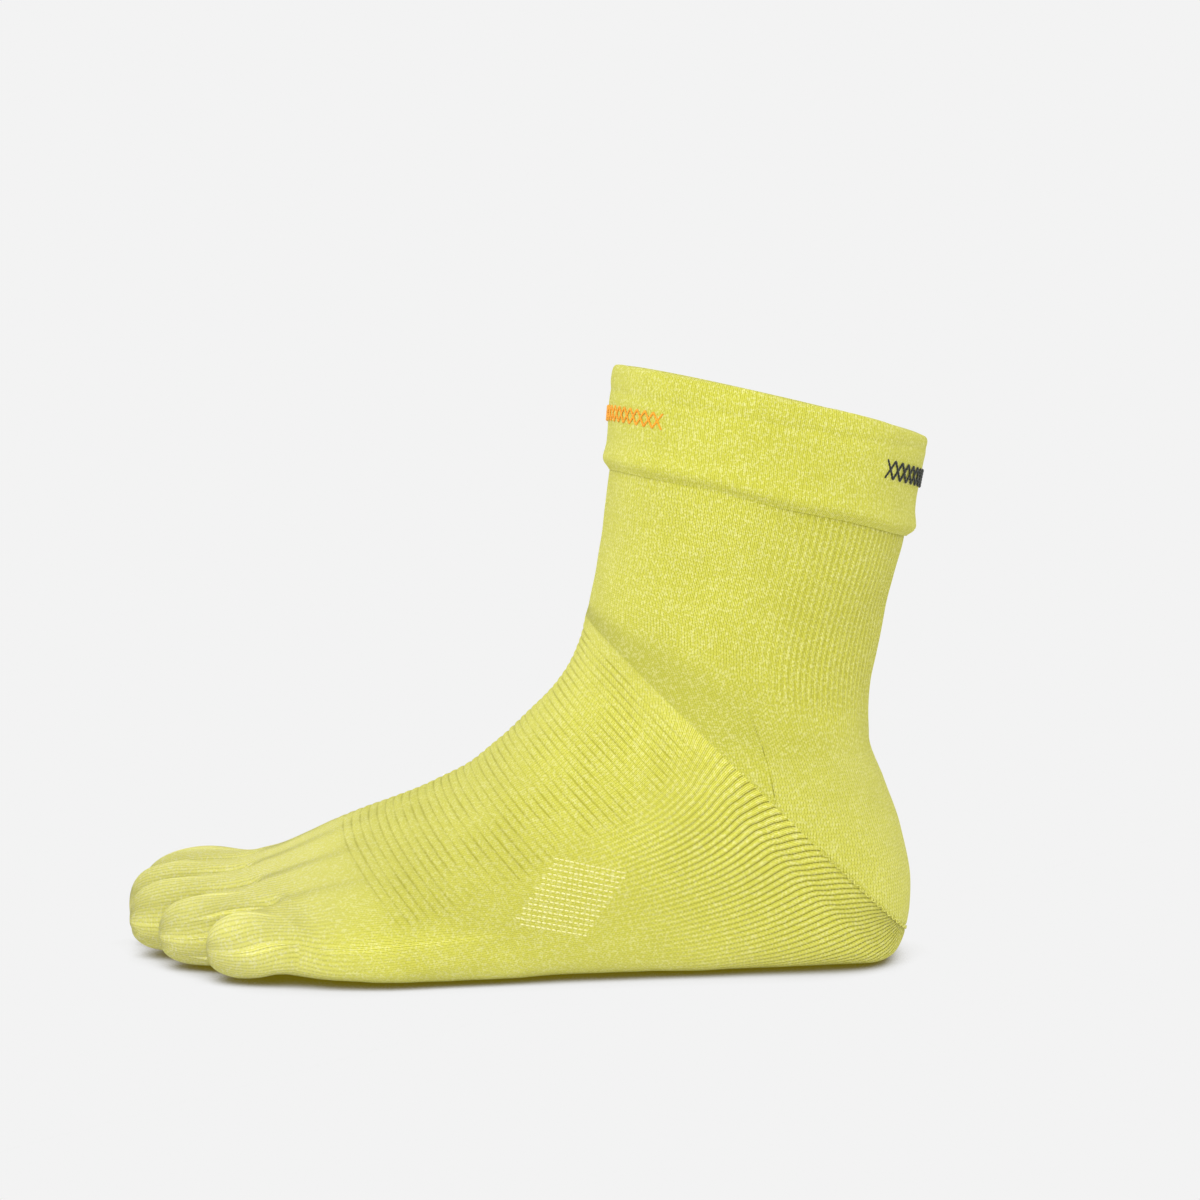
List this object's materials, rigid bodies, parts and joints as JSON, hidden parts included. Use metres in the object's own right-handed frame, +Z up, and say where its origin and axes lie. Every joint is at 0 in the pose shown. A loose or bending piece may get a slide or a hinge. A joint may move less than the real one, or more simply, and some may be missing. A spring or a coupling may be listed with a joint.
{
  "type": "toe sock",
  "caption": "Knitted crew sock for a left foot in its worn shape: turned cuff, ribbed leg, heel pocket, cross-ribbed instep and separate toe pockets.",
  "frame": {"origin": "on the inner face of the sole under the ankle, where the wearer's foot stands; the outer face of the sole and the floor lie 1.5 mm below it", "axes": "+X towards the heel, so the toes point to -X; +Y towards the inner, big toe side of the foot; +Z up the leg"},
  "size_m": [0.2554, 0.0975, 0.1857],
  "materials": {
    "cuff_knit": "yellow-green double knit welt, matt with a soft nap",
    "leg_knit": "yellow-green fine rib knit with lighter flecks, matt",
    "heel_knit": "yellow-green fine plain knit, matt",
    "foot_knit": "yellow-green plain knit with cross ribs over the instep, matt",
    "toe_knit": "pale yellow-green plain knit, matt with a soft nap"
  },
  "bodies": {
    "root": {"cuff": "cuff_knit", "leg": "leg_knit", "heel": "heel_knit", "foot": "foot_knit", "big_toe": "toe_knit", "second_toe": "toe_knit", "third_toe": "toe_knit", "fourth_toe": "toe_knit", "little_toe": "toe_knit"}
  },
  "joints": []
}
